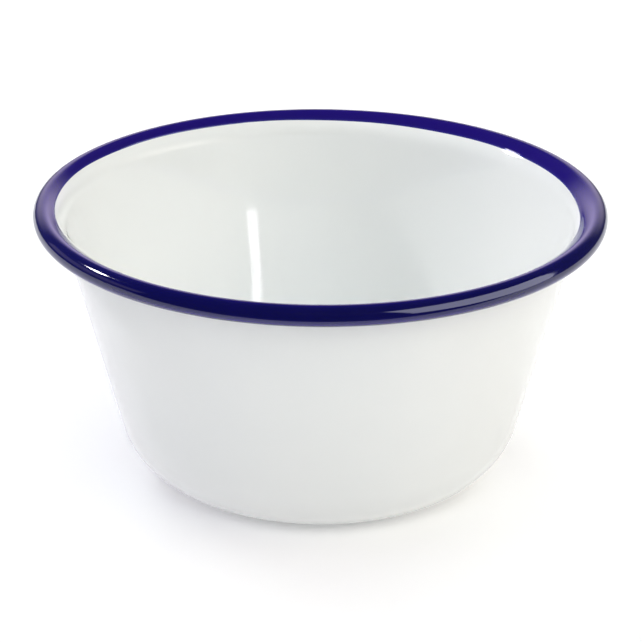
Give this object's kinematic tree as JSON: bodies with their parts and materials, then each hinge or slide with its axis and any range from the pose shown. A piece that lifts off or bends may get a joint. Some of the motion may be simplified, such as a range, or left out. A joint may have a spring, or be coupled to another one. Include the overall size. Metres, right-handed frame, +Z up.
{
  "type": "enamel basin bowl",
  "caption": "Round deep bowl of enamelled sheet steel with tapering wall, rounded corner, rolled rim with a dark blue band and flat standing base.",
  "frame": {"origin": "centre of the standing ring under the base, on the surface that the bowl stands on", "axes": "+Z up along the bowl's axis of revolution; +X and +Y are alike because the bowl is round"},
  "size_m": [0.16, 0.16, 0.081],
  "materials": {
    "steel": "satin",
    "ground_enamel": "gloss",
    "white_enamel": "gloss",
    "blue_enamel": "gloss"
  },
  "bodies": {
    "root": {"steel_shell": "steel", "inside_ground_coat": "ground_enamel", "outside_ground_coat": "ground_enamel", "inside_white_enamel": "white_enamel", "outside_white_enamel": "white_enamel", "blue_rim_enamel": "blue_enamel"}
  },
  "joints": []
}
